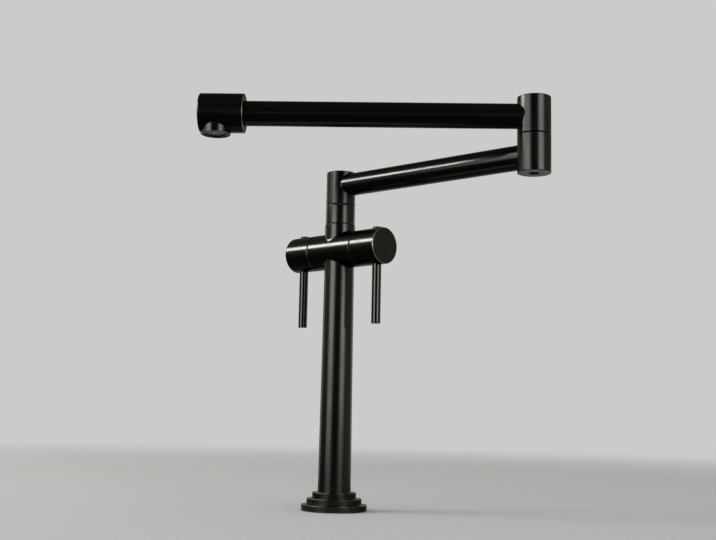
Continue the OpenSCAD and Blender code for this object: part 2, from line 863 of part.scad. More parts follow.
module aerator_housing() {
    notch_w = 3;
    notch_h = 0.8;
    inner_r = aerator_r - aerator_wall;
    color(black_metal) at_outlet() difference() {
        disc(aerator_r, aerator_z0, aerator_z1);
        disc(inner_r, core_z0, aerator_z1 + past);
        disc(inner_r - aerator_lip_t, aerator_z0 - past, aerator_z1 + past);
        for (turn = [0, 90]) rotate([0, 0, turn])
            translate([-aerator_d, -notch_w / 2, aerator_z0 - past])
                cube([2 * aerator_d, notch_w, notch_h + past]);
    }
}

// The core: a cup with a grid of rings and ribs below and a drilled plate above
module aerator_core() {
    grid_h = 2;
    rib_w = 0.6;
    plate_t = 1.2;
    hole_d = 1.6;
    step = 360 / grid_ribs;
    color(grey_plastic) at_outlet() difference() {
        union() {
            ring(core_r, core_r - core_wall, core_z0, aerator_z1);
            ring(core_ring_r, core_ring_r - rib_w, core_z0, core_z0 + grid_h);
            disc(core_hub_r, core_z0, core_z0 + grid_h);
            for (rib = [0 : grid_ribs - 1]) rotate([0, 0, rib * step])
                translate([0, -rib_w / 2, core_z0])
                    cube([core_r - core_wall / 2, rib_w, grid_h]);
            disc(core_r - core_wall / 2, aerator_z1 - plate_t, aerator_z1);
        }
        for (hole = [0 : grid_ribs - 1]) rotate([0, 0, hole * step])
            translate([core_ring_r, 0, aerator_z1 - plate_t - past])
                cylinder(d = hole_d, h = plate_t + 2 * past);
    }
}

module aerator_seal() {
    color(rubber) at_outlet()
        ring(aerator_r - aerator_wall / 2, head_chamber_r, aerator_z1, aerator_floor_z);
}

base_flange();
deck_gasket();
column_tube();
threaded_shank();
deck_seal();
clamp_washer();
lock_nut();
inlet_block();
cold_riser();
hot_riser();
valve_barrel();
cartridge(-1);  // left_cartridge
cartridge(1);  // right_cartridge
seat_seal(-1);  // left_seat_seal
seat_seal(1);  // right_seat_seal
fixed_disc(-1);  // left_fixed_disc
fixed_disc(1);  // right_fixed_disc
stem(-1);  // left_stem
stem(1);  // right_stem
turning_disc(-1);  // left_turning_disc
turning_disc(1);  // right_turning_disc
stem_seal(-1);  // left_stem_seal
stem_seal(1);  // right_stem_seal
stem_clip(-1);  // left_stem_clip
stem_clip(1);  // right_stem_clip
drum(-1);  // left_drum
drum(1);  // right_drum
lever(-1);  // left_lever
lever(1);  // right_lever
grub_screw(-1);  // left_grub_screw
grub_screw(1);  // right_grub_screw
swivel_collar();
hub_wear_ring();
swivel_spindle();
swivel_o_rings();
lower_hub();
lower_arm_tube();
elbow_lower_housing();
elbow_wear_ring();
elbow_spindle();
elbow_o_rings();
elbow_washer();
elbow_screw();
elbow_upper_housing();
upper_arm_tube();
spout_head();
aerator_housing();
aerator_core();
aerator_seal();
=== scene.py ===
import json
import math

import bpy
import numpy as np
from mathutils import Matrix, Vector


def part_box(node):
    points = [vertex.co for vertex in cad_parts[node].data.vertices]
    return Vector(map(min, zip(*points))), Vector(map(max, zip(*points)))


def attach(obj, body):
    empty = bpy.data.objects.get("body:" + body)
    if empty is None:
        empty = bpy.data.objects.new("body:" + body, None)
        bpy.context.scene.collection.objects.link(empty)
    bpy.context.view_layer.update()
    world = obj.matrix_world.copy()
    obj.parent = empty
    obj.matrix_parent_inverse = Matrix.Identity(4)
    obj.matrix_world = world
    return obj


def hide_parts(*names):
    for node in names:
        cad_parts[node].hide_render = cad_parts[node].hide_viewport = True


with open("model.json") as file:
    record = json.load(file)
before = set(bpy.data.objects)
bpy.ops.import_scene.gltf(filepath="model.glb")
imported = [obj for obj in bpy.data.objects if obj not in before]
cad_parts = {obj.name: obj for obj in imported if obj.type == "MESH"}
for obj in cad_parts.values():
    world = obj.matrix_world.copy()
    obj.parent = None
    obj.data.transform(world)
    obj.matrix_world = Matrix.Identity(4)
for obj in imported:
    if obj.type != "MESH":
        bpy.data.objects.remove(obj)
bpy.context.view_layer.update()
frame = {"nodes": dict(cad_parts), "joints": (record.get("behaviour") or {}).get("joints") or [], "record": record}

MM = 0.001

# Camera, at the place from which the photograph was taken: a little to the right of the faucet,
# low over the floor and looking slightly up, with a hint of roll.
camera_place = np.array([731.48, -748.70, 91.51]) * MM
camera_azimuth = math.radians(43.32)
camera_pitch = math.radians(7.68)
camera_roll = math.radians(1.17)
frame_width_px = 716
focal_length_px = 1071.57

forward = np.array([
    -math.sin(camera_azimuth) * math.cos(camera_pitch),
    math.cos(camera_azimuth) * math.cos(camera_pitch),
    math.sin(camera_pitch),
])
level_right = np.array([math.cos(camera_azimuth), math.sin(camera_azimuth), 0.0])
level_up = np.cross(level_right, forward)
camera_right = level_right * math.cos(camera_roll) + level_up * math.sin(camera_roll)
camera_up = level_up * math.cos(camera_roll) - level_right * math.sin(camera_roll)
camera_data = bpy.data.cameras.new("photo_camera")
camera_data.sensor_width = 36.0
camera_data.lens = camera_data.sensor_width * focal_length_px / frame_width_px
camera_data.clip_start = 0.01
camera_data.clip_end = 100.0
camera = bpy.data.objects.new("photo_camera", camera_data)
bpy.context.scene.collection.objects.link(camera)
turn = Matrix((camera_right, camera_up, -forward)).transposed().to_4x4()
camera.matrix_world = Matrix.Translation(Vector(camera_place)) @ turn
bpy.context.scene.camera = camera
bpy.context.scene.view_settings.view_transform = "Standard"


# Studio: a pale floor at the height of the flange's foot and a pale surround. Two soft boxes and
# a strip stand where the photograph's highlights ask for them. Dark cards all round and low over
# the floor keep the black metal black.
faucet_middle = np.array([0.10, -0.08, 0.20])


def polar(azimuth, elevation, distance):
    """The point that far from the faucet's middle: azimuth from +X towards +Y, in degrees."""
    a, e = np.radians(azimuth), np.radians(elevation)
    unit = np.stack([np.cos(a) * np.cos(e), np.sin(a) * np.cos(e), np.sin(e)], -1)
    return faucet_middle + distance * unit


def grid_mesh(name, points):
    """A mesh object from an array of points, rows by columns by three."""
    rows, columns = points.shape[:2]
    index = np.arange(rows * columns).reshape(rows, columns)
    quads = np.stack([index[:-1, :-1], index[:-1, 1:], index[1:, 1:], index[1:, :-1]], -1)
    mesh = bpy.data.meshes.new(name)
    mesh.from_pydata(points.reshape(-1, 3).tolist(), [], quads.reshape(-1, 4).tolist())
    piece = bpy.data.objects.new(name, mesh)
    bpy.context.scene.collection.objects.link(piece)
    return piece


floor_reach = 9.0
fade_start, fade_end = 0.5, 2.4
floor_radius, floor_turn = np.meshgrid(
    [0.0, fade_start, fade_end, floor_reach], np.radians(np.linspace(0, 360, 97)), indexing="ij")
floor = grid_mesh("floor", np.stack([
    floor_radius * np.cos(floor_turn), floor_radius * np.sin(floor_turn), 0 * floor_radius], -1))
floor_material = bpy.data.materials.new("pale_floor")
floor_material.use_nodes = True
floor_nodes = floor_material.node_tree.nodes
floor_links = floor_material.node_tree.links
floor_shader = floor_nodes["Principled BSDF"]
floor_shader.inputs["Base Color"].default_value = (0.50, 0.50, 0.49, 1.0)
floor_shader.inputs["Roughness"].default_value = 0.7
floor_shader.inputs["Specular IOR Level"].default_value = 0.0
floor_place = floor_nodes.new("ShaderNodeTexCoord")
floor_distance = floor_nodes.new("ShaderNodeVectorMath")
floor_distance.operation = "LENGTH"
floor_fade = floor_nodes.new("ShaderNodeMapRange")
floor_fade.interpolation_type = "SMOOTHERSTEP"
floor_fade.inputs["From Min"].default_value = fade_start
floor_fade.inputs["From Max"].default_value = fade_end
floor_fade.inputs["To Min"].default_value = 1.0
floor_fade.inputs["To Max"].default_value = 0.0
floor_links.new(floor_place.outputs["Object"], floor_distance.inputs[0])
floor_links.new(floor_distance.outputs["Value"], floor_fade.inputs["Value"])
floor_links.new(floor_fade.outputs["Result"], floor_shader.inputs["Alpha"])
floor.data.materials.append(floor_material)

world = bpy.data.worlds.new("pale_surround")
world.use_nodes = True
world.node_tree.nodes["Background"].inputs["Color"].default_value = (0.60, 0.60, 0.59, 1.0)
world.node_tree.nodes["Background"].inputs["Strength"].default_value = 1.0
bpy.context.scene.world = world


def card(name, points, glow, tint, lights=False):
    """A glowing card that the camera doesn't see, from a grid of points and their radiance.

    It shows in reflections, and lights the floor as well if lights is set.
    """
    piece = grid_mesh(name, points)
    piece.data.attributes.new("glow", "FLOAT", "POINT").data.foreach_set(
        "value", np.broadcast_to(glow, points.shape[:2]).ravel())
    material = bpy.data.materials.new(name)
    material.use_nodes = True
    nodes, links = material.node_tree.nodes, material.node_tree.links
    strength = nodes.new("ShaderNodeAttribute")
    strength.attribute_name = "glow"
    shine = nodes.new("ShaderNodeEmission")
    shine.inputs["Color"].default_value = (*tint, 1.0)
    links.new(strength.outputs["Fac"], shine.inputs["Strength"])
    links.new(shine.outputs[0], nodes["Material Output"].inputs["Surface"])
    piece.data.materials.append(material)
    piece.visible_camera = piece.visible_shadow = piece.visible_transmission = False
    piece.visible_diffuse = lights


olive, sky = (1.0, 1.02, 0.84), (0.99, 1.0, 1.0)
flag_distance, glow_distance = 6.0, 5.5
for name, azimuths, elevations, distance, brightness in (
        ("front_flag", (-142, 16), (-4, 46), flag_distance, 0.04),
        ("left_flag", (-166, -142), (-4, 46), flag_distance, 0.20),
        ("right_flag", (16, 78), (-4, 46), flag_distance, 0.26),
        ("back_low_flag", (78, 194), (-4, 14), flag_distance, 0.30),
        ("back_flag", (78, 194), (14, 46), flag_distance, 0.15),
        ("top_flag", (-180, 180), (46, 89), flag_distance, 0.07),
        ("back_glow", (85, 105), (-4, 14), glow_distance, 1.5),
        ("side_glow", (165, 185), (-4, 14), glow_distance, 1.5)):
    card(name, polar(*np.meshgrid(np.linspace(*azimuths, 40), np.linspace(*elevations, 24)),
                     distance), brightness, olive)
flange_clear = 0.034
card_lift = 0.0003
for name, azimuths, reach, brightness in (
        ("near_floor_flag", (-170, 24), (flange_clear, 0.15), 0.25),
        ("far_floor_flag", (-170, 24), (0.15, 3.0), 0.03),
        ("back_floor_flag", (24, 190), (flange_clear, 0.40), 0.08)):
    card_turn, card_radius = np.meshgrid(np.radians(np.linspace(*azimuths, 60)), reach)
    card(name, np.stack([card_radius * np.cos(card_turn), card_radius * np.sin(card_turn),
                         np.full(card_turn.shape, card_lift)], -1), brightness, olive)


def soft_box(name, azimuth, elevation, distance, half_width, half_height, radiance):
    """A lit card, that many degrees wide and high, whose light fades towards its rim."""
    fade = 0.6
    u, v = np.meshgrid(np.linspace(-1, 1, 61), np.linspace(-1, 1, 41))
    rim = [np.clip((1 - np.abs(way)) / fade, 0, 1) for way in (u, v)]
    glow = radiance * np.prod([edge ** 2 * (3 - 2 * edge) for edge in rim], 0)
    card(name, polar(azimuth + u * half_width, elevation + v * half_height, distance), glow,
         sky, lights=True)


soft_box("left_box", azimuth=-99, elevation=9, distance=2.5, half_width=25, half_height=18,
         radiance=3.8)
soft_box("right_box", azimuth=-5, elevation=11, distance=2.0, half_width=23, half_height=20,
         radiance=3.6)
streak_radiance = 20.0
streak = bpy.data.lights.new("streak_strip", "AREA")
streak.shape = "RECTANGLE"
streak.size, streak.size_y = 1.2, 0.45
streak.energy = streak_radiance * math.pi * streak.size * streak.size_y
strip = bpy.data.objects.new("streak_strip", streak)
strip.location = polar(azimuth=-138, elevation=27, distance=2.5)
strip.rotation_mode = "QUATERNION"
strip.rotation_quaternion = (strip.location - Vector(faucet_middle)).to_track_quat("Z", "Y")
strip.visible_camera = False
bpy.context.scene.collection.objects.link(strip)


# Base flange: three turned steps of brass under a black finish, slipped over the column's foot.
# A ring groove in its underside holds the gasket. Each step's edge is broken by the lathe tool.
body_of = {node: body for body, nodes in frame["record"]["behaviour"]["bodies"].items()
           for node in nodes}


def span(node):
    """A node's lowest and highest corner, in millimetres."""
    return [np.array(corner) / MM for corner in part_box(node)]


def rounded(corners, radii, closed=True, steps=6):
    """An outline of (radius, height) corners, counterclockwise, with its corners rounded.

    Each arc has its centre on the corner's bisector, and turns from the outward normal of the
    edge before the corner to that of the edge after it. An open outline keeps its two end
    points as they are. Gives the points, their normals and an edge mask, 1 on an outside edge,
    that marks where the finish shows wear and painted highlight.
    """
    corners = np.asarray(corners, float)
    radii = np.broadcast_to(np.asarray(radii, float), len(corners))[:, None]
    edges = [corners - np.roll(corners, 1, 0), np.roll(corners, -1, 0) - corners]
    first, last = [np.stack([edge[:, 1], -edge[:, 0]], -1)
                   / np.linalg.norm(edge, axis=1, keepdims=True) for edge in edges]
    cosine = (first * last).sum(1, keepdims=True)
    turn = np.arctan2(first[:, :1] * last[:, 1:] - first[:, 1:] * last[:, :1], cosine)
    bend = np.sign(turn)
    centre = corners - bend * radii * (first + last) / (1 + cosine)
    part = np.linspace(0, 1, steps + 1)
    angle = np.arctan2(first[:, 1:], first[:, :1]) + turn * part
    normals = np.stack([np.cos(angle), np.sin(angle)], -1)
    points = centre[:, None] + (bend * radii)[:, None] * normals
    wear = np.maximum(bend, 0) * np.sin(np.pi * part)
    if closed:
        flat = points.reshape(-1, 2), normals.reshape(-1, 2), wear.ravel()
        return [np.concatenate([values, values[:1]]) for values in flat]
    return [
        np.concatenate([corners[:1], points[1:-1].reshape(-1, 2), corners[-1:]]),
        np.concatenate([last[:1], normals[1:-1].reshape(-1, 2), first[-1:]]),
        np.concatenate([[0.0], wear[1:-1].ravel(), [0.0]]),
    ]


def turned(outline, angles):
    """The outline spun about Z: (radius cos a, radius sin a, height) for each angle a."""
    points, normals, wear = outline
    ring = np.stack([np.cos(angles), np.sin(angles)], -1)

    def spin(flat):
        height = np.repeat(flat[:, None, 1:], len(angles), 1)
        return np.concatenate([flat[:, None, :1] * ring, height], -1)

    return [spin(points), spin(normals), np.repeat(wear[:, None], len(angles), 1)]


def skin(name, node, patches, material, origin=(0, 0, 0), up=(0, 0, 1), along=(1, 0, 0)):
    """A mesh from patches of points, normals and an edge mask for wear and painted highlight, in
    millimetres, that stands for a node.

    Local Z lies along up and local X along along. Points that patches share are merged, a quad
    that this leaves with three corners becomes a triangle, and each patch is wound to look the
    way that its normals do.
    """
    frame_rows = np.array([along, np.cross(up, along), up], float)
    points, normals, wear = [
        np.concatenate([patch[item].reshape(-1, *patch[item].shape[2:]) for patch in patches])
        for item in range(3)]
    points = points @ frame_rows + np.asarray(origin, float)
    normals = normals @ frame_rows
    counts = np.cumsum([0] + [patch[2].size for patch in patches])
    quads = []
    for start, patch in zip(counts, patches):
        index = start + np.arange(patch[2].size).reshape(patch[2].shape)
        quad = np.stack([index[:-1, :-1], index[:-1, 1:], index[1:, 1:], index[1:, :-1]],
                        -1).reshape(-1, 4)
        looking = np.cross(points[quad[:, 2]] - points[quad[:, 0]],
                           points[quad[:, 3]] - points[quad[:, 1]])
        inward = (looking * normals[quad].sum(1)).sum() < 0
        quads.append(quad[:, ::-1] if inward else quad)
    quads = np.concatenate(quads)
    between_grid_lines = 1.3e-4
    _, kept, merged = np.unique(
        np.round(points + between_grid_lines, 3), axis=0, return_index=True, return_inverse=True)
    points, normals, wear = points[kept], normals[kept], wear[kept]
    quads = merged.ravel()[quads]
    joined = quads == np.roll(quads, -1, 1)
    pinched = joined.sum(1) == 1
    triangles = quads[pinched][~joined[pinched]].reshape(-1, 3)
    mesh = bpy.data.meshes.new(name)
    mesh.from_pydata((points * MM).tolist(), [],
                     quads[~joined.any(1)].tolist() + triangles.tolist())
    mesh.shade_smooth()
    mesh.normals_split_custom_set_from_vertices(normals.tolist())
    mesh.attributes.new("wear", "FLOAT", "POINT").data.foreach_set("value", wear)
    mesh.materials.append(material)
    piece = bpy.data.objects.new(name, mesh)
    bpy.context.scene.collection.objects.link(piece)
    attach(piece, body_of[node])
    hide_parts(node)
    return piece


def finish(name, tone, other_tone, roughness, other_roughness, mark, mark_depth, mark_turn=0.0,
           metallic=0.0, patch_size=25.0, wear_and_highlight_tone=None, worn_roughness=None):
    """A Principled material: two tones and two roughnesses in soft patches, and fine marks.

    patch_size and mark are the sizes of the patches and of the marks along X, Y and Z in
    millimetres. The marks turn about Z by mark_turn and are mark_depth deep. The edge tone
    and worn_roughness show on the outside edges, by the edge mask: the tone is part wear and
    part painted highlight, a paler rim that stands in for light caught on the rounded edge.
    """
    material = bpy.data.materials.new(name)
    material.use_nodes = True
    nodes, links = material.node_tree.nodes, material.node_tree.links
    shader = nodes["Principled BSDF"]
    shader.inputs["Metallic"].default_value = metallic
    if metallic:
        shader.inputs["Specular Tint"].default_value = (0.7, 0.7, 0.7, 1.0)
    place = nodes.new("ShaderNodeTexCoord").outputs["Object"]

    cloud = nodes.new("ShaderNodeTexNoise")
    cloud.inputs["Scale"].default_value = 1 / (patch_size * MM)
    cloud.inputs["Detail"].default_value = 3.0
    links.new(place, cloud.inputs["Vector"])

    stretch = nodes.new("ShaderNodeMapping")
    stretch.vector_type = "TEXTURE"
    stretch.inputs["Rotation"].default_value = (0.0, 0.0, mark_turn)
    stretch.inputs["Scale"].default_value = [size * MM for size in mark]
    links.new(place, stretch.inputs["Vector"])
    marks = nodes.new("ShaderNodeTexNoise")
    marks.inputs["Scale"].default_value = 1.0
    marks.inputs["Detail"].default_value = 2.0
    links.new(stretch.outputs["Vector"], marks.inputs["Vector"])

    def blend(kind, factor, first, second):
        mix = nodes.new("ShaderNodeMix")
        mix.data_type = kind
        sockets = {socket.identifier: socket for socket in mix.inputs}
        ending = {"RGBA": "Color", "FLOAT": "Float"}[kind]
        links.new(factor, sockets["Factor_Float"])
        for socket, value in ((sockets["A_" + ending], first), (sockets["B_" + ending], second)):
            if isinstance(value, bpy.types.NodeSocket):
                links.new(value, socket)
            else:
                socket.default_value = value
        return next(socket for socket in mix.outputs if socket.identifier == "Result_" + ending)

    sharper = nodes.new("ShaderNodeMapRange")
    sharper.interpolation_type = "SMOOTHSTEP"
    sharper.inputs["From Min"].default_value = 0.35
    sharper.inputs["From Max"].default_value = 0.65
    links.new(cloud.outputs["Fac"], sharper.inputs["Value"])
    patches = sharper.outputs["Result"]
    colour = blend("RGBA", patches, (*tone, 1.0), (*other_tone, 1.0))
    uneven = nodes.new("ShaderNodeMath")
    uneven.operation = "MULTIPLY_ADD"
    uneven.inputs[1].default_value = 0.5
    links.new(marks.outputs["Fac"], uneven.inputs[0])
    half_patches = nodes.new("ShaderNodeMath")
    half_patches.operation = "MULTIPLY"
    half_patches.inputs[1].default_value = 0.5
    links.new(patches, half_patches.inputs[0])
    links.new(half_patches.outputs["Value"], uneven.inputs[2])
    sheen = blend("FLOAT", uneven.outputs["Value"], roughness, other_roughness)
    # The edge mask mixes in the paler edge tone: part wear, part painted highlight.
    if wear_and_highlight_tone:
        wear_and_highlight_node = nodes.new("ShaderNodeAttribute")
        wear_and_highlight_node.attribute_name = "wear"
        colour = blend("RGBA", wear_and_highlight_node.outputs["Fac"], colour, (*wear_and_highlight_tone, 1.0))
        sheen = blend("FLOAT", wear_and_highlight_node.outputs["Fac"], sheen, worn_roughness)
    links.new(colour, shader.inputs["Base Color"])
    links.new(sheen, shader.inputs["Roughness"])
    bump = nodes.new("ShaderNodeBump")
    bump.inputs["Strength"].default_value = 1.0
    bump.inputs["Distance"].default_value = mark_depth * MM
    links.new(marks.outputs["Fac"], bump.inputs["Height"])
    links.new(bump.outputs["Normal"], shader.inputs["Normal"])
    return material


# The gunmetal's edge tone, a little paler than its body, is part wear and part painted highlight.
def gunmetal(name, mark, mark_turn=0.0, roughness=(0.17, 0.25), wear_and_highlight_tone=(0.075, 0.072, 0.066),
             worn_roughness=0.36):
    """The black gunmetal finish, with the polishing marks that run round a piece's own axis."""
    return finish(name, (0.054, 0.053, 0.049), (0.048, 0.047, 0.0435), *roughness, metallic=1.0,
                  mark=mark, mark_turn=mark_turn, mark_depth=0.0012, wear_and_highlight_tone=wear_and_highlight_tone,
                  worn_roughness=worn_roughness)


def dress(nodes, material):
    """Gives CAD nodes their finish."""
    for node in nodes:
        frame["nodes"][node].material_slots[0].material = material


full_turn = 2 * np.pi
round_marks = (12.0, 12.0, 0.2)
upright_gunmetal = gunmetal("upright_gunmetal", mark=round_marks, roughness=(0.20, 0.29),
                            wear_and_highlight_tone=(0.05, 0.048, 0.044), worn_roughness=0.2)
# The flange's paler edge tone is part wear and part painted highlight along the steps' rims.
flange_gunmetal = gunmetal("flange_gunmetal", mark=round_marks, wear_and_highlight_tone=(0.17, 0.16, 0.14))
rubber = finish("moulded_rubber", (0.016, 0.016, 0.017), (0.024, 0.024, 0.025), 0.55, 0.75,
                patch_size=8.0, mark=(0.25, 0.25, 0.25), mark_depth=0.004)
_, gasket_high = span("deck_gasket")
gasket_r = gasket_high[0]
gasket_w = 9.0
loose_play = 0.05
flange_low, flange_high = span("base_flange")
flange_foot_z = flange_low[2]
step_h = (flange_high[2] - flange_foot_z) / 3
step_radii = (flange_high[0], 26.3, 21.0)
column_low, column_high = span("column_tube")
column_foot_r = column_high[0]
shank_hole_r = 14.3
edge_r = 0.5
corner_r = 0.25
hole_edge = 0.15
hidden_r = 0.1
column_seat_r = column_foot_r + loose_play
groove_r = (gasket_r - gasket_w - loose_play, gasket_r + loose_play)
flange_corners = [
    (shank_hole_r, flange_foot_z), (groove_r[0], flange_foot_z), (groove_r[0], gasket_high[2]),
    (groove_r[1], gasket_high[2]), (groove_r[1], flange_foot_z)]
flange_rounding = [hidden_r] * len(flange_corners)
for step, radius in enumerate(step_radii):
    foot = flange_foot_z + step * step_h
    flange_corners += [(radius, foot), (radius, foot + step_h)]
    flange_rounding += [corner_r, edge_r]
flange_corners += [(column_seat_r, flange_high[2]), (column_seat_r, column_low[2]),
                   (shank_hole_r, column_low[2])]
flange_rounding += [hole_edge, hidden_r, hidden_r]
flange_turn = np.linspace(0, full_turn, 193)
skin("stepped_flange", "base_flange",
     [turned(rounded(flange_corners, flange_rounding), flange_turn)], flange_gunmetal)

# Gasket and deck seal: two flat rings of black rubber, one above and one below the deck, with
# the dull skin that comes out of the mould.
dress(["deck_gasket", "deck_seal"], rubber)

# Threaded shank: a length of brass pipe with a 1.5 mm thread, screwed into the column's foot. It
# passes through the deck, and its plain tail lets the nut start easily.
machined_brass = finish("machined_brass", (0.78, 0.58, 0.28), (0.66, 0.47, 0.21), 0.24, 0.40,
                        metallic=1.0, patch_size=12.0, mark=(6.0, 6.0, 0.12), mark_depth=0.001)
shank_low, shank_high = span("threaded_shank")
shank_r = shank_high[0]
shank_bore_r = 11.6
shank_tail_r = 13.1
shank_tail_l = 16.0
shank_tail_z = shank_low[2] + shank_tail_l
shank_edge = 0.8
bore_edge = 0.3
shoulder_edge = 0.4
pitch = 1.5
thread_depth = 0.85
flank_steepness, crest_flat = 1.15, 0.08
thread_runout = 2.0
lead = 1.0
thread_rows, thread_columns = 420, 72
thread_z = np.linspace(shank_tail_z + lead, shank_high[2] - lead, thread_rows)[:, None]
thread_turn = np.linspace(0, full_turn, thread_columns + 1)
turns_up = (thread_z - shank_tail_z) / pitch - thread_turn / full_turn
groove = np.abs(2 * (turns_up - np.floor(turns_up)) - 1)
to_end = np.minimum(thread_z - thread_z[0], thread_z[-1] - thread_z)
fade = np.clip(to_end / thread_runout, 0, 1)
thread_r = shank_r - thread_depth * np.clip(flank_steepness * groove - crest_flat, 0, 1) * fade
slope = np.gradient(thread_r, thread_z[:, 0], axis=0)
thread_wave = np.stack([thread_r * np.cos(thread_turn), thread_r * np.sin(thread_turn),
                        thread_z + 0 * thread_r], -1)
thread_normals = np.stack([np.cos(thread_turn) + 0 * slope, np.sin(thread_turn) + 0 * slope,
                           -slope], -1)
thread_normals /= np.linalg.norm(thread_normals, axis=-1, keepdims=True)
shank_rest = turned(rounded(
    [(shank_r, thread_z[-1, 0]), (shank_r, shank_high[2]), (shank_bore_r, shank_high[2]),
     (shank_bore_r, shank_low[2]), (shank_tail_r, shank_low[2]), (shank_tail_r, shank_tail_z),
     (shank_r, shank_tail_z), (shank_r, thread_z[0, 0])],
    [0.0, shank_edge, bore_edge, bore_edge, shank_edge, hidden_r, shoulder_edge, 0.0],
    closed=False), thread_turn)
skin("shank_with_thread", "threaded_shank",
     [[thread_wave, thread_normals, 0 * thread_r], shank_rest], machined_brass)

# Clamp washer and lock nut: a pressed steel ring and a hexagon of brass that pull the whole
# faucet down onto the deck.
plain_steel = finish("plain_steel", (0.60, 0.60, 0.59), (0.50, 0.50, 0.50), 0.26, 0.42,
                     metallic=1.0, patch_size=10.0, mark=(0.4, 0.4, 0.4), mark_depth=0.001)
dress(["clamp_washer"], plain_steel)
dress(["lock_nut", "inlet_block"], machined_brass)

# Risers: two drawn copper tubes that bring cold and hot water from the inlet block to the
# valve barrel, browned a little by handling and soldering.
drawn_copper = finish("drawn_copper", (0.86, 0.46, 0.30), (0.62, 0.30, 0.19), 0.24, 0.42,
                      metallic=1.0, patch_size=18.0, mark=(0.15, 0.15, 8.0), mark_depth=0.001)
dress(["cold_riser", "hot_riser"], drawn_copper)


# Column: a tapered brass tube, coped at its top to the barrel's round, brazed there and blended
# with a small hollow before plating. Its foot stands on the shank's shoulder in the flange.
wall_columns, wall_rows, arc_steps = 256, 14, 6


def pierced_wall(wall, low, high, half_turn, hole_r, blend, rise, columns=wall_columns):
    """The stretch of a round wall along local X that a branch or a hole along local Z opens.

    wall gives the wall's radius and slope at x. Each ray of the patch starts on a border that
    is a rectangle in x and in the angle round the wall, and runs straight in these two to the
    mouth, hole_r + blend from the branch's axis. A parabola whose ends are tangent to wall and
    branch rounds it off. rise is 1 for a branch that stands out and -1 for a hole.
    """
    turn = np.linspace(0, full_turn, columns + 1)
    outwards = np.stack([np.cos(turn), np.sin(turn)], -1)

    def square(angle):
        return np.clip(2 - np.abs((angle + np.pi) % full_turn - np.pi) * 4 / np.pi, -1, 1)

    def on_wall(x, angle):
        radius, slope = wall(x)
        points = np.stack([x, radius * np.sin(angle), radius * np.cos(angle)], -1)
        normals = np.stack([-slope, np.sin(angle), np.cos(angle)], -1)
        return points, normals / np.linalg.norm(normals, axis=-1, keepdims=True)

    def at_branch(radius):
        x, y = radius * outwards[:, 0], radius * outwards[:, 1]
        return x, np.arcsin(y / wall(x)[0])

    border = ((low + high) / 2 + square(turn) * (high - low) / 2,
              square(turn - np.pi / 2) * half_turn)
    mouth = at_branch(hole_r + blend)
    inwards = np.linspace(0, 1, wall_rows)[:, None]
    points, normals = on_wall(*[start + (end - start) * inwards
                                for start, end in zip(border, mouth)])
    corner, _ = on_wall(*at_branch(hole_r))
    foot = corner + [0, 0, rise * blend]
    part = np.linspace(0, 1, arc_steps + 1)[1:, None, None]
    arc = (1 - part) ** 2 * points[-1] + 2 * part * (1 - part) * corner + part ** 2 * foot
    branch_normals = rise * np.concatenate([outwards, 0 * outwards[:, :1]], -1)
    arc_normals = (1 - part) * normals[-1] + part * branch_normals
    arc_normals /= np.linalg.norm(arc_normals, axis=-1, keepdims=True)
    # The hole's chamfer gets the edge mask, which marks wear and painted highlight.
    arc_wear = max(-rise, 0) * np.sin(np.pi * part[:, :, 0]) * np.ones(len(turn))
    return [np.concatenate([points, arc]), np.concatenate([normals, arc_normals]),
            np.concatenate([np.zeros(points.shape[:2]), arc_wear])]


def round_wall(radius):
    """The wall of a plain cylinder, for pierced_wall."""
    return lambda x: (radius + 0 * x, 0 * x)


def joined(*patches):
    """Patches one after another along their rows, as one patch."""
    return [np.concatenate(items) for items in zip(*patches)]


def flipped(patch, axis):
    """The patch mirrored across the plane through the origin that is square to that axis."""
    mirror = np.ones(3)
    mirror[axis] = -1
    return [patch[0] * mirror, patch[1] * mirror, patch[2]]


def lengthwise(patch):
    """A patch turned about Z laid about X instead, with its angles counted from Z towards Y."""
    return [patch[0][..., ::-1], patch[1][..., ::-1], patch[2]]


barrel_low, barrel_high = span("valve_barrel")
barrel_r = barrel_high[1]
barrel_z = span("right_drum")[0][2] + barrel_r
fit_play = 0.02
column_top_r = 14.4
column_bore_r = 12.6
column_foot_edge = 0.3
taper_start = 20.0
shank_end_gap = 0.1
shank_seat_z = shank_high[2] + shank_end_gap
column_l = barrel_z - column_low[2]
taper = (column_foot_r - column_top_r) / column_l
braze_r = 1.3
around = np.linspace(0, full_turn, wall_columns + 1)


def saddle(branch_r, wall_r):
    """The curve in which a branch of that radius, or radii, about Z meets a round about X."""
    across = branch_r * np.sin(around)
    return np.stack([branch_r * np.cos(around), across, np.sqrt(wall_r ** 2 - across ** 2)], -1)


# The taper makes the coping's radius depend on its own height: a few passes settle it.
coped_r = column_top_r + 0 * around
for _ in range(4):
    coped_r = column_top_r + taper * saddle(coped_r, barrel_r)[:, 2]
feather_r = barrel_r + 2 * fit_play
seat_r = barrel_r + fit_play
flare = [values[wall_rows - 1:] for values in pierced_wall(
    round_wall(feather_r), -barrel_r, barrel_r, np.pi / 2, coped_r, braze_r, 1)]
column_skin = turned(rounded(
    [(column_top_r + taper * taper_start, taper_start), (column_foot_r, column_l),
     (shank_r + fit_play, column_l), (shank_r + fit_play, barrel_z - shank_seat_z),
     (column_bore_r, barrel_z - shank_seat_z), (column_bore_r, taper_start)],
    [0.0, column_foot_edge, hidden_r, hidden_r, hidden_r, 0.0], closed=False), around)
seat_points = np.stack([saddle(column_bore_r, seat_r), saddle(coped_r + braze_r, seat_r)])
seat_normals = seat_points * [0, -1, -1] / seat_r
no_wear = np.zeros((3, len(around)))
skin("coped_column", "column_tube",
     [joined(flare, column_skin, [seat_points[:1], column_skin[1][-1:], no_wear[:1]]),
      joined([seat_points, seat_normals, no_wear[:2]], [values[:1] for values in flare])],
     upright_gunmetal, origin=(0, 0, barrel_z), up=(0, 0, -1))

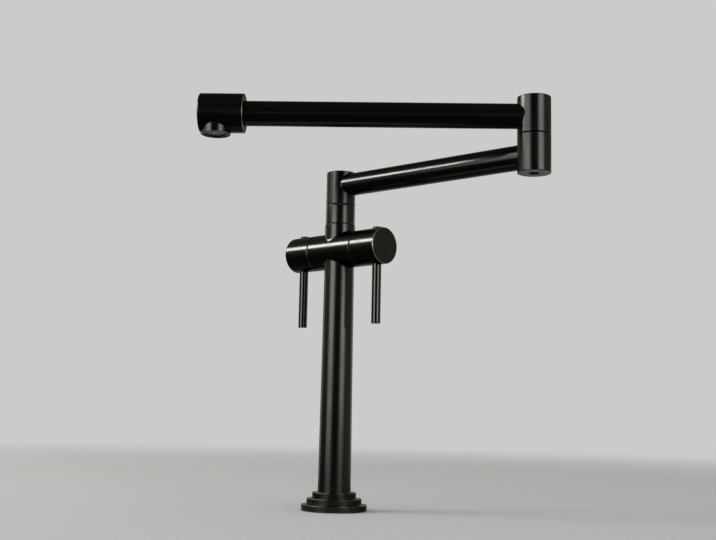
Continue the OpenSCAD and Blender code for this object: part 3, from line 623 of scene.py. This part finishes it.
# Valve barrel: one brass casting, a round body across the column with a short neck on top, bored
# from both ends for the valves. Neck and body are blended by the mould's hollow radius.
bar_marks = (0.2, 12.0, 12.0)
barrel_gunmetal = gunmetal("barrel_gunmetal", mark=bar_marks)
# The drums' pale edge tone is part wear and part painted highlight: it draws bright rims round the caps and the
# drillings.
drum_gunmetal = gunmetal("drum_gunmetal", mark=bar_marks, wear_and_highlight_tone=(0.52, 0.49, 0.43))
barrel_edge = 0.8
mouth_edge = 0.2
neck_r = 14.9
neck_start, neck_top = 20.0, 25.4
collar_thread_r = 11.0
collar_thread_top = barrel_high[2] - barrel_z
collar_thread_edge = 0.3
spindle_r = 8.0
socket_floor_t = 1.8
socket_floor = barrel_r + socket_floor_t
neck_blend_r = 1.3
spigot_r = column_bore_r - fit_play
spigot_start, spigot_end = 18.5, barrel_z - barrel_low[2]
spigot_blend_r, spigot_edge = 0.2, 0.4
valve_thread_r, valve_thread_x = 10.42, 19.0
chamber_r, chamber_x = 8.9, 9.5
barrel_x = barrel_high[0]
barrel_round = round_wall(barrel_r)
ends_x = barrel_x - barrel_edge
neck = joined(
    pierced_wall(barrel_round, -ends_x, ends_x, np.pi / 2, neck_r, neck_blend_r, 1),
    turned(rounded(
        [(neck_r, neck_start), (neck_r, neck_top), (collar_thread_r, neck_top),
         (collar_thread_r, collar_thread_top), (spindle_r, collar_thread_top),
         (spindle_r, socket_floor), (0, socket_floor)],
        [0.0, edge_r, hidden_r, collar_thread_edge, hidden_r, hidden_r, 0.0], closed=False),
        around))
spigot = flipped(joined(
    pierced_wall(barrel_round, -ends_x, ends_x, np.pi / 2, spigot_r, spigot_blend_r, 1),
    turned(rounded([(spigot_r, spigot_start), (spigot_r, spigot_end), (0, spigot_end)],
                   [0.0, spigot_edge, 0.0], closed=False), around)), 2)
barrel_end = lengthwise(turned(rounded(
    [(barrel_r, ends_x), (barrel_r, barrel_x), (valve_thread_r, barrel_x),
     (valve_thread_r, valve_thread_x), (chamber_r, valve_thread_x), (chamber_r, chamber_x),
     (0, chamber_x)],
    [0.0, barrel_edge, mouth_edge, hidden_r, hidden_r, hidden_r, 0.0], closed=False),
    around[::2]))
skin("barrel_and_neck", "valve_barrel", [neck, spigot, barrel_end, flipped(barrel_end, 0)],
     barrel_gunmetal, origin=(0, 0, barrel_z))

# Ceramic valves: in each end of the barrel a brass cartridge with two lapped ceramic discs, a
# stem with its o-ring and circlip, and a rubber seat seal.
lapped_ceramic = finish("lapped_ceramic", (0.84, 0.81, 0.74), (0.78, 0.75, 0.68), 0.12, 0.30,
                        patch_size=3.0, mark=(0.1, 0.1, 0.1), mark_depth=0.0005)
for side in ("left_", "right_"):
    dress([side + "cartridge", side + "stem"], machined_brass)
    dress([side + "seat_seal", side + "stem_seal"], rubber)
    dress([side + "fixed_disc", side + "turning_disc"], lapped_ceramic)
    dress([side + "stem_clip", side + "grub_screw"], plain_steel)

# Handles: a drum turned from brass bar on each valve stem, cross-drilled for a rod lever that
# a grub screw at the back locks. The drilling is chamfered, and the rod stands a little proud.
drum_low, drum_high = span("right_drum")
lever_low, lever_high = span("right_lever")
grub_low, grub_high = span("right_grub_screw")
lever_x, grub_x = (lever_low[0] + lever_high[0]) / 2, (grub_low[0] + grub_high[0]) / 2
lever_r, grub_r = (lever_high[0] - lever_low[0]) / 2, (grub_high[0] - grub_low[0]) / 2
drum_wall_x = drum_low[0] + barrel_edge, drum_high[0] - barrel_edge
drilling_edge = 0.3
mouth_wear = 0.25
skirt_r, skirt_x = 14.0, 38.2
stem_r, stem_end_x = 4.02, 43.95
grub_start, grub_floor = 12.0, 4.3
drum_columns = 128
drum_around = np.linspace(0, full_turn, drum_columns + 1)


def plain_wall(wall, low, high, start, end, columns=wall_columns):
    """A stretch of the same wall with nothing in it, between two angles round X."""
    x, angle = np.meshgrid(np.linspace(low, high, columns // 4 + 1),
                           np.linspace(start, end, columns // 4 + 1), indexing="ij")
    radius, slope = wall(x)
    normals = np.stack([-slope, np.sin(angle), np.cos(angle)], -1)
    return [np.stack([x, radius * np.sin(angle), radius * np.cos(angle)], -1),
            normals / np.linalg.norm(normals, axis=-1, keepdims=True), np.zeros(x.shape)]


def drum_hole(x, radius):
    """The quarter of the drum's wall on the +Z side, with a chamfered hole at x."""
    points, normals, wear = pierced_wall(
        barrel_round, drum_wall_x[0] - x, drum_wall_x[1] - x, np.pi / 4, radius + fit_play,
        drilling_edge, -1, columns=drum_columns)
    return [points + [x, 0, 0], normals, wear]


top_quarter = drum_hole(lever_x, lever_r)
lever_quarters = joined(top_quarter, [values[::-1] for values in flipped(top_quarter, 2)])
grub_bore = turned(rounded(
    [(grub_r + fit_play, grub_start), (grub_r + fit_play, grub_floor), (0, grub_floor)],
    [0.0, hidden_r, 0.0], closed=False), drum_around)
grub_bore[0] = grub_bore[0] + [grub_x, 0, 0]
back_quarter = joined(drum_hole(grub_x, grub_r), grub_bore)
back_quarter = [values[..., [0, 2, 1]] for values in back_quarter[:2]] + back_quarter[2:]
front_quarter = plain_wall(barrel_round, *drum_wall_x, -0.75 * np.pi, -0.25 * np.pi, drum_columns)
drum_cap = lengthwise(turned(rounded(
    [(barrel_r, drum_wall_x[1]), (barrel_r, drum_high[0]), (0, drum_high[0])],
    [0.0, barrel_edge, 0.0], closed=False), drum_around))
drum_mouth = flipped(lengthwise(turned(rounded(
    [(barrel_r, -drum_wall_x[0]), (barrel_r, -drum_low[0]), (skirt_r, -drum_low[0]),
     (skirt_r, -skirt_x), (stem_r, -skirt_x), (stem_r, -stem_end_x), (0, -stem_end_x)],
    [0.0, barrel_edge, mouth_edge, hidden_r, hidden_r, hidden_r, 0.0], closed=False),
    drum_around)), 0)
# At the seam with the barrel the edge tone is turned down, so its painted highlight shows only as a faint line.
drum_mouth[2] = drum_mouth[2] * mouth_wear
drum = [lever_quarters, back_quarter, front_quarter, drum_cap, drum_mouth]
# A paler edge tone for the levers and the collar: part rubbed wear, part painted highlight on their rims.
rubbed_and_highlight_tone = (0.26, 0.245, 0.21)
lever_gunmetal = gunmetal("lever_gunmetal", mark=round_marks, roughness=(0.11, 0.17),
                          wear_and_highlight_tone=rubbed_and_highlight_tone)
lever_outline = rounded([(0, lever_low[2]), (lever_r, lever_low[2]), (lever_r, lever_high[2]),
                         (0, lever_high[2])], [0.0, edge_r, edge_r, 0.0], closed=False)
lever_turn = np.linspace(0, full_turn, 97)
for side, way in (("left", -1), ("right", 1)):
    skin(side + "_handle_drum", side + "_drum",
         drum if way > 0 else [flipped(patch, 0) for patch in drum],
         drum_gunmetal, origin=(0, 0, barrel_z))
    skin(side + "_rod", side + "_lever", [turned(lever_outline, lever_turn)], lever_gunmetal,
         origin=(way * lever_x, 0, 0))

# First swivel: a brass collar screwed onto the neck holds the flanged spindle down. The hub
# above it turns on the spindle and on a thin ring of slippery plastic.
# The rings' plastic is black, made darker still and given little specular as painted shade, so the grooves at the
# hub and the elbow read as dark lines.
slip_plastic_and_groove_shade = finish("slip_plastic_and_groove_shade", (0.008, 0.008, 0.009), (0.013, 0.013, 0.014), 0.55, 0.7,
                      patch_size=6.0, mark=(3.0, 3.0, 0.15), mark_depth=0.002)
slip_plastic_and_groove_shade.node_tree.nodes["Principled BSDF"].inputs["Specular IOR Level"].default_value = 0.12
collar_gunmetal = gunmetal("collar_gunmetal", mark=round_marks, roughness=(0.20, 0.29),
                           wear_and_highlight_tone=rubbed_and_highlight_tone)
collar_low, collar_high = span("swivel_collar")
hub_r = collar_high[0]
thread_play_r = collar_thread_r + fit_play
flange_room = 2.8
collar_shelf_z = barrel_high[2] + flange_room
spindle_hole_r = spindle_r + loose_play
ring_edge = 0.12
ring_turn = np.linspace(0, full_turn, 129)
skin("threaded_collar", "swivel_collar", [turned(rounded(
    [(thread_play_r, collar_low[2]), (hub_r, collar_low[2]), (hub_r, collar_high[2]),
     (spindle_hole_r, collar_high[2]), (spindle_hole_r, collar_shelf_z),
     (thread_play_r, collar_shelf_z)],
    [hole_edge, edge_r, edge_r, hole_edge, hidden_r, hidden_r]), around)], collar_gunmetal)
for name, node, hole_r in (("hub_slip_ring", "hub_wear_ring", 8.2),
                           ("elbow_slip_ring", "elbow_wear_ring", 7.7)):
    ring_low, ring_high = span(node)
    ring_r = (ring_high[0] - ring_low[0]) / 2
    skin(name, node, [turned(rounded(
        [(hole_r, ring_low[2]), (ring_r, ring_low[2]), (ring_r, ring_high[2]),
         (hole_r, ring_high[2])], ring_edge), ring_turn)],
         slip_plastic_and_groove_shade, origin=[*((ring_low + ring_high) / 2)[:2], 0])
dress(["swivel_spindle", "elbow_spindle"], machined_brass)
dress(["swivel_o_rings", "elbow_o_rings"], rubber)

# Hub and elbow housings: turned brass, each cross-bored for an arm tube that is brazed in. The
# braze leaves a small hollow fillet all round the tube. The elbow's two housings turn on one
# spindle, held by a screw in the pocket under the lower one.
elbow_place = next(np.array(joint["pos_m"]) / MM for joint in frame["joints"]
                   if joint["name"] == "elbow_swivel") * [1, 1, 0]
lower_way = elbow_place / np.linalg.norm(elbow_place)
outlet_low, outlet_high = span("aerator_housing")
outlet_place = (outlet_low + outlet_high) / 2 * [1, 1, 0]
upper_way = (outlet_place - elbow_place) / np.linalg.norm(outlet_place - elbow_place)
arm_r = 11.0
arm_bore_r = 9.8
socket_start, socket_depth_x = 9.5, 8.88
arm_fillet_r = 0.6
lower_arm_low, lower_arm_high = span("lower_arm_tube")
lower_arm_z = (lower_arm_low[2] + lower_arm_high[2]) / 2
upper_arm_z = span("upper_arm_tube")[0][2] + arm_r


def arm_housing(name, node, place, arm_z, way, top, bottom):
    """A turned housing about an upright axis, with a brazed socket for the arm that leaves it.

    top and bottom are the corners and radii of its two end outlines, from the outside inwards,
    by height above and below the arm's axis.
    """
    low, high = span(node)
    radius = (high[0] - low[0]) / 2
    walls = low[2] + edge_r - arm_z, high[2] - edge_r - arm_z
    lip_r, bore_r = arm_r + 2 * fit_play, arm_r + fit_play
    socket = pierced_wall(round_wall(radius), *walls, np.pi / 2, lip_r, arm_fillet_r, 1)
    lip_points = socket[0][-1:] * [bore_r / lip_r, bore_r / lip_r, 1]
    bore = turned(rounded(
        [(bore_r, socket_start), (bore_r, socket_depth_x), (0, socket_depth_x)],
        [0.0, hidden_r, 0.0], closed=False), around)
    ends = [lengthwise(turned(rounded(
        [(radius, wall)] + [(r, h) for r, h, _ in corners],
        [0.0] + [rounding for *_, rounding in corners], closed=False), around[::2]))
        for wall, corners in ((walls[1], top), (-walls[0], bottom))]
    skin(name, node,
         [joined(socket, [lip_points, -socket[1][-1:], 0 * socket[2][-1:]], bore),
          plain_wall(round_wall(radius), *walls, 0.5 * np.pi, 1.5 * np.pi),
          ends[0], flipped(ends[1], 0)],
         upright_gunmetal, origin=place + [0, 0, arm_z], up=way, along=(0, 0, 1))


hub_low, hub_high = span("lower_hub")
hub_top, hub_foot = hub_high[2] - lower_arm_z, lower_arm_z - hub_low[2]
hub_seat_end = 10.5
arm_housing(
    "brazed_hub", "lower_hub", np.zeros(3), lower_arm_z, lower_way,
    top=[(hub_r, hub_top, edge_r), (0, hub_top, 0.0)],
    bottom=[(hub_r, hub_foot, edge_r), (spindle_r + fit_play, hub_foot, hole_edge),
            (spindle_r + fit_play, hub_seat_end, hidden_r), (0, hub_seat_end, 0.0)])
elbow_low, elbow_high = span("elbow_lower_housing")
elbow_r = (elbow_high[0] - elbow_low[0]) / 2
elbow_top, elbow_foot = elbow_high[2] - lower_arm_z, lower_arm_z - elbow_low[2]
elbow_spindle_r = 7.5
elbow_hole_r = elbow_spindle_r + loose_play
pocket_r, pocket_depth, pocket_edge, ledge_t = 4.75, 5.0, 0.3, 1.8
screw_hole_r = 2.65
ledge = elbow_foot - pocket_depth
arm_housing(
    "elbow_foot_housing", "elbow_lower_housing", elbow_place, lower_arm_z, -lower_way,
    top=[(elbow_r, elbow_top, edge_r), (elbow_hole_r, elbow_top, hole_edge),
         (elbow_hole_r, 0, 0.0)],
    bottom=[(elbow_r, elbow_foot, edge_r), (pocket_r, elbow_foot, pocket_edge),
            (pocket_r, ledge, hidden_r), (screw_hole_r, ledge, hidden_r),
            (screw_hole_r, ledge - ledge_t, hidden_r), (elbow_hole_r, ledge - ledge_t, hidden_r),
            (elbow_hole_r, 0, 0.0)])
upper_low, upper_high = span("elbow_upper_housing")
upper_top, upper_foot = upper_high[2] - upper_arm_z, upper_arm_z - upper_low[2]
upper_seat_depth = 10.6
upper_seat_end = upper_foot - upper_seat_depth
arm_housing(
    "elbow_head_housing", "elbow_upper_housing", elbow_place, upper_arm_z, upper_way,
    top=[(elbow_r, upper_top, edge_r), (0, upper_top, 0.0)],
    bottom=[(elbow_r, upper_foot, edge_r), (elbow_spindle_r + fit_play, upper_foot, hole_edge),
            (elbow_spindle_r + fit_play, upper_seat_end, hidden_r), (0, upper_seat_end, 0.0)])
dress(["elbow_washer", "elbow_screw"], plain_steel)

# Arms: two lengths of drawn brass tube, polished along their length before plating, with their
# ends squared and brazed into the housings.
spout_low, spout_high = span("spout_head")
head_tail = 25.0
head_tube_x = 14.5
arm_start = 9.0
tube_edge = 0.15
lower_arm_l = np.linalg.norm(elbow_place)
upper_arm_l = np.linalg.norm(outlet_place - elbow_place)
for name, node, place, z, way, end in (
        ("lower_tube", "lower_arm_tube", np.zeros(3), lower_arm_z, lower_way,
         lower_arm_l - arm_start),
        ("upper_tube", "upper_arm_tube", elbow_place, upper_arm_z, upper_way,
         upper_arm_l - head_tube_x)):
    arm_gunmetal = gunmetal(name + "_gunmetal", mark=bar_marks,
                            mark_turn=math.atan2(way[1], way[0]))
    skin(name, node, [turned(rounded(
        [(arm_bore_r, arm_start), (arm_r, arm_start), (arm_r, end), (arm_bore_r, end)], tube_edge),
        around)], arm_gunmetal, origin=place + [0, 0, z], up=way, along=(0, 0, 1))

# Spout head: a turned brass cap on the arm's end, rounded at its nose, with the outlet's boss
# brazed to its underside and threaded inside for the aerator.
head_r = spout_high[2] - upper_arm_z
head_nose = 14.6
nose_edge = 1.6
tail_edge = 0.8
nose_start = head_nose - nose_edge
nose_turn = 0.5
boss_r = 13.1
boss_start = 17.9
boss_end = upper_arm_z - spout_low[2]
boss_edge = 0.5
boss_fillet = 0.3
aerator_r = 11.42
aerator_seat = upper_arm_z - span("aerator_seal")[1][2]
chamber_hole_r, chamber_end = 7.6, 8.3


def head_wall(x):
    """The head's wall: its radius, which the nose's rounding draws in, and its slope at x."""
    past = np.clip(x - nose_start, 0, None)
    level = np.sqrt(nose_edge ** 2 - past ** 2)
    return head_r - nose_edge + level, -past / level


nose_steps = 12
# The head's pale edge tone is part wear and part painted highlight, drawing the bright rim round its tail.
head_gunmetal = gunmetal("head_gunmetal", mark=bar_marks,
                         mark_turn=math.atan2(upper_way[1], upper_way[0]),
                         wear_and_highlight_tone=(0.42, 0.41, 0.38))
head_x = tail_edge - head_tail, nose_start + nose_edge * math.sin(nose_turn * math.pi / 2)
boss = joined(
    pierced_wall(head_wall, *head_x, np.pi / 2, boss_r, boss_fillet, 1),
    turned(rounded(
        [(boss_r, boss_start), (boss_r, boss_end), (aerator_r, boss_end),
         (aerator_r, aerator_seat), (chamber_hole_r, aerator_seat), (chamber_hole_r, chamber_end),
         (0, chamber_end)],
        [0.0, boss_edge, mouth_edge, hidden_r, hidden_r, hidden_r, 0.0], closed=False), around))
nose = rounded([(head_r, 0), (head_r, head_nose), (0, head_nose)], [0.0, nose_edge, 0.0],
               closed=False, steps=nose_steps)
nose = [values[1 + int(nose_turn * nose_steps):] for values in nose]
tail = rounded([(head_r, -head_x[0]), (head_r, head_tail), (arm_r + fit_play, head_tail),
                (arm_r + fit_play, head_tube_x), (0, head_tube_x)],
               [0.0, tail_edge, mouth_edge, hidden_r, 0.0], closed=False)
skin("spout_cap", "spout_head",
     [boss, plain_wall(head_wall, *head_x, 0.5 * np.pi, 1.5 * np.pi),
      lengthwise(turned(nose, around[::2])), flipped(lengthwise(turned(tail, around[::2])), 0)],
     head_gunmetal, origin=outlet_place + [0, 0, upper_arm_z], up=(0, 0, -1), along=upper_way)

# Aerator: a slotted brass ring that screws into the boss from below, with a moulded core whose
# grid breaks the jet, and a rubber seal above it.
moulded_grey = finish("moulded_grey", (0.20, 0.205, 0.205), (0.16, 0.165, 0.165), 0.36, 0.52,
                      patch_size=4.0, mark=(0.2, 0.2, 0.2), mark_depth=0.002)
dress(["aerator_housing"], upright_gunmetal)
dress(["aerator_core"], moulded_grey)
dress(["aerator_seal"], rubber)
